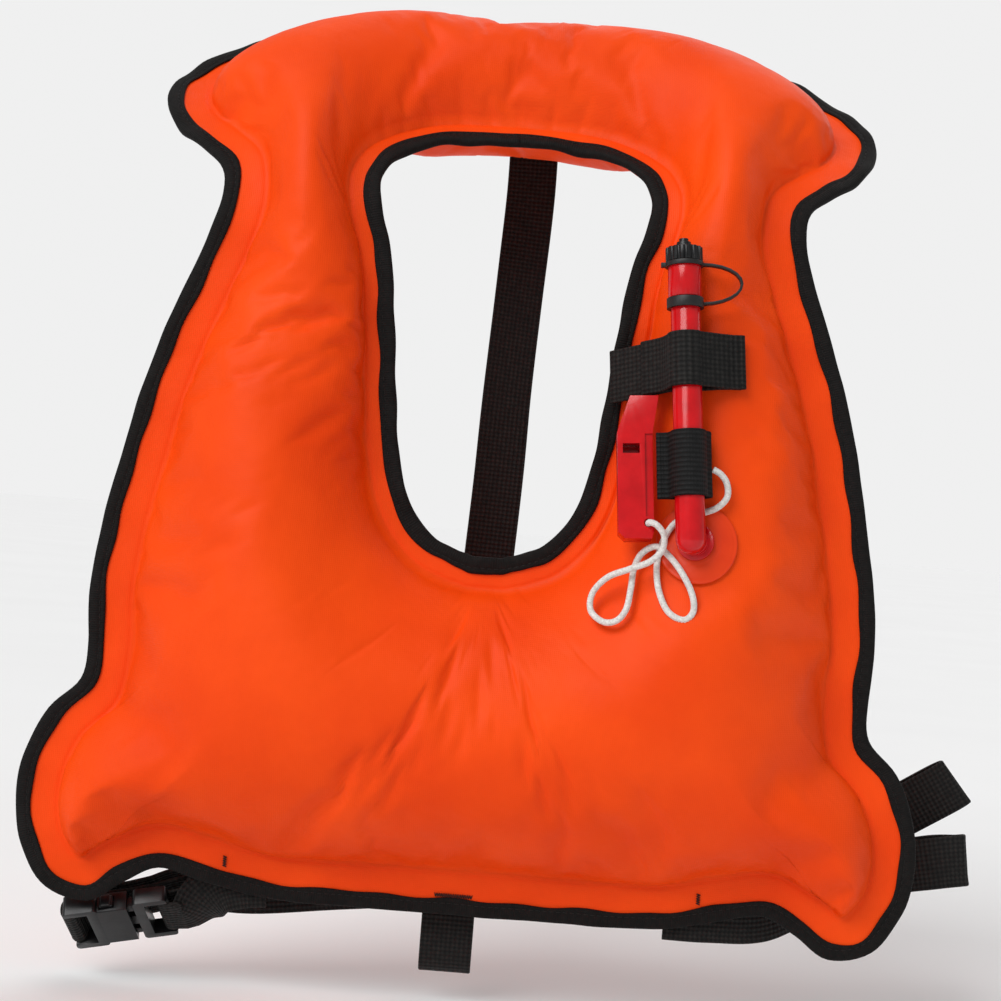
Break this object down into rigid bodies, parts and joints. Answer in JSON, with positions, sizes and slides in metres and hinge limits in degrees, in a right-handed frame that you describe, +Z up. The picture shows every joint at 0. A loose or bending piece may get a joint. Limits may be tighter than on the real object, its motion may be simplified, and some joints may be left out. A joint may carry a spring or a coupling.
{
  "type": "inflatable life jacket",
  "caption": "Horse-collar air vest with neck opening, mouth inflation tube, whistle on a cord, side-release waist buckle and back strap.",
  "frame": {"origin": "centre of the neck opening at shoulder level, on the seam plane between the panels, where the vest hangs on the wearer's neck", "axes": "+Z up along the body, -Y out of the chest towards the viewer, +X towards the inflation tube side"},
  "size_m": [0.459, 0.1701, 0.4736],
  "materials": {
    "orange_fabric": "fine woven nylon, coated on the inside",
    "black_tape": "folded grosgrain tape",
    "black_webbing": "woven webbing",
    "black_thread": "close zigzag stitching",
    "black_plastic": "moulded, slightly glossy",
    "red_plastic": "moulded, glossy",
    "weld_film": "clear film welded over the fabric",
    "black_elastic": "ribbed elastic",
    "hook_tape": "hook and loop tape",
    "black_rubber": "soft",
    "spring_steel": "bright wire",
    "white_cord": "braided polyester"
  },
  "bodies": {
    "vest": {"front_panel": "orange_fabric", "back_panel": "orange_fabric", "outer_binding": "black_tape", "neck_binding": "black_tape", "bar_tacks": "black_thread", "back_strap": "black_webbing", "waist_belt": "black_webbing", "buckle_strap": "black_webbing", "buckle_plug": "black_plastic", "plug_prongs": "black_plastic", "weld_patch": "weld_film", "weld_flange": "red_plastic", "inflation_tube": "red_plastic", "valve_housing": "red_plastic", "valve_seat": "black_plastic", "valve_spring": "spring_steel", "cap_tether": "black_rubber", "band_base": "black_webbing", "loop_patch": "hook_tape", "elastic_loop": "black_elastic", "whistle_cord": "white_cord"},
    "socket": {"buckle_socket": "black_plastic"},
    "stem": {"valve_stem": "black_plastic", "stem_seal": "black_rubber"},
    "ring": {"lock_ring": "black_plastic"},
    "flap": {"band_flap": "black_webbing", "hook_patch": "hook_tape"},
    "whistle_body": {"whistle": "red_plastic"}
  },
  "joints": [
    {"name": "buckle_release", "type": "slide", "parent": "vest", "child": "socket", "axis": [-0.9781, 0, -0.2079], "range_m": [0, 0.034], "deforming": ["waist_belt", "plug_prongs"]},
    {"name": "valve_press", "type": "slide", "parent": "vest", "child": "stem", "axis": [0.0898, -0.1392, -0.9862], "range_m": [0, 0.003], "stiffness_N_per_m": 150, "springref_m": -0.002, "deforming": ["valve_spring"]},
    {"name": "lock_ring_turn", "type": "hinge", "parent": "vest", "child": "ring", "pos_m": [0.07774, -0.03365, -0.02631], "axis": [-0.0898, 0.1392, 0.9862], "range_deg": [0, 270]},
    {"name": "band_open", "type": "hinge", "parent": "vest", "child": "flap", "pos_m": [0.1078, -0.03497, -0.07409], "axis": [-0.0898, 0.1392, 0.9862], "range_deg": [0, 140]},
    {"name": "whistle_pull", "type": "slide", "parent": "vest", "child": "whistle_body", "axis": [0, -1, 0], "range_m": [0, 0.05], "deforming": ["whistle_cord"]}
  ]
}
